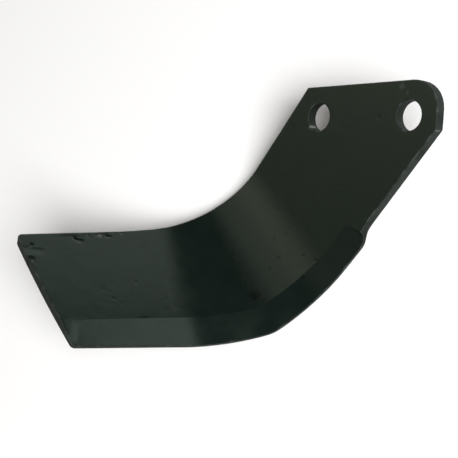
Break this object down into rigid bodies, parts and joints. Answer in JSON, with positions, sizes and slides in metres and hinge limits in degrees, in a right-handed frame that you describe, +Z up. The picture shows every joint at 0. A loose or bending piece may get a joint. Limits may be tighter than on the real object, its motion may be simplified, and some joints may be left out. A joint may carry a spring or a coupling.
{
  "type": "rotary tiller blade",
  "caption": "Forged steel rotary tiller blade: flat shank with bolt holes, a conical bend and a flat leg with a bevelled cutting edge.",
  "frame": {"origin": "on the floor, at the middle of the bounding box of the blade as it lies at rest on the outside of its bend", "axes": "+X along the line on which the bend touches the floor, towards the cutting edge; +Y towards the head of the shank; +Z up, out of the concave side"},
  "size_m": [0.102, 0.2212, 0.0798],
  "materials": {
    "blackened_steel": "satin black over forging scale"
  },
  "bodies": {
    "root": {"blade": "blackened_steel"}
  },
  "joints": []
}
